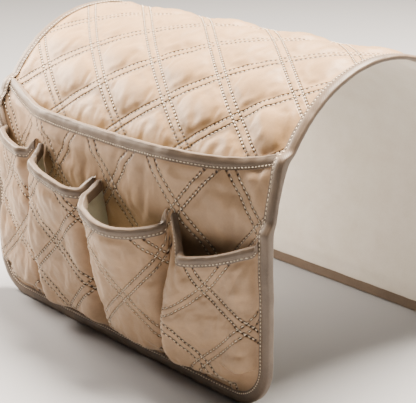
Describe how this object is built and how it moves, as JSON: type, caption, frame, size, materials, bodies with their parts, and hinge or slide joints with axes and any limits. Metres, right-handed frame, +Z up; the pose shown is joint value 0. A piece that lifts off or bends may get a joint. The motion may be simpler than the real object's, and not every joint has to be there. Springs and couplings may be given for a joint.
{
  "type": "sofa armrest organizer",
  "caption": "Quilted cloth strip that hangs over a sofa arm, with a wide magazine pocket and a row of pleated small pockets on its front end.",
  "frame": {"origin": "middle of the flat under the crown, where the strip lies on the top of the arm", "axes": "+Z up, +X across the strip along the arm, the pockets face -Y"},
  "size_m": [0.3322, 0.2686, 0.2365],
  "materials": {
    "satin_polyester": "quilted beige satin polyester with a soft sheen",
    "binding_tape": "taupe folded binding tape",
    "grip_lining": "matt pale grip cloth",
    "pocket_lining": "matt off-white lining cloth",
    "wadding": "white polyester wadding"
  },
  "bodies": {
    "saddle": {"saddle_lining": "grip_lining", "saddle_wadding": "wadding", "saddle_facing": "satin_polyester", "saddle_binding_left": "binding_tape", "saddle_binding_right": "binding_tape"},
    "front_flap": {"front_lining": "grip_lining", "front_wadding": "wadding", "front_facing": "satin_polyester", "front_binding": "binding_tape", "magazine_pocket_lining": "pocket_lining", "magazine_pocket_facing": "satin_polyester", "magazine_mouth_binding": "binding_tape", "pocket_1_lining": "pocket_lining", "pocket_1_facing": "satin_polyester", "pocket_1_mouth_binding": "binding_tape", "pocket_2_lining": "pocket_lining", "pocket_2_facing": "satin_polyester", "pocket_2_mouth_binding": "binding_tape", "pocket_3_lining": "pocket_lining", "pocket_3_facing": "satin_polyester", "pocket_3_mouth_binding": "binding_tape", "pocket_4_lining": "pocket_lining", "pocket_4_facing": "satin_polyester", "pocket_4_mouth_binding": "binding_tape", "divider_seam_1": "binding_tape", "divider_seam_2": "binding_tape", "divider_seam_3": "binding_tape"},
    "back_flap": {"back_lining": "grip_lining", "back_wadding": "wadding", "back_facing": "satin_polyester", "back_binding": "binding_tape"}
  },
  "joints": [
    {"name": "front_flap_fold", "type": "hinge", "parent": "saddle", "child": "front_flap", "pos_m": [0, -0.08579, -0.03296], "axis": [-1, 0, 0], "range_deg": [0, 90]},
    {"name": "back_flap_fold", "type": "hinge", "parent": "saddle", "child": "back_flap", "pos_m": [0, 0.08579, -0.03296], "axis": [1, 0, 0], "range_deg": [0, 120]}
  ]
}
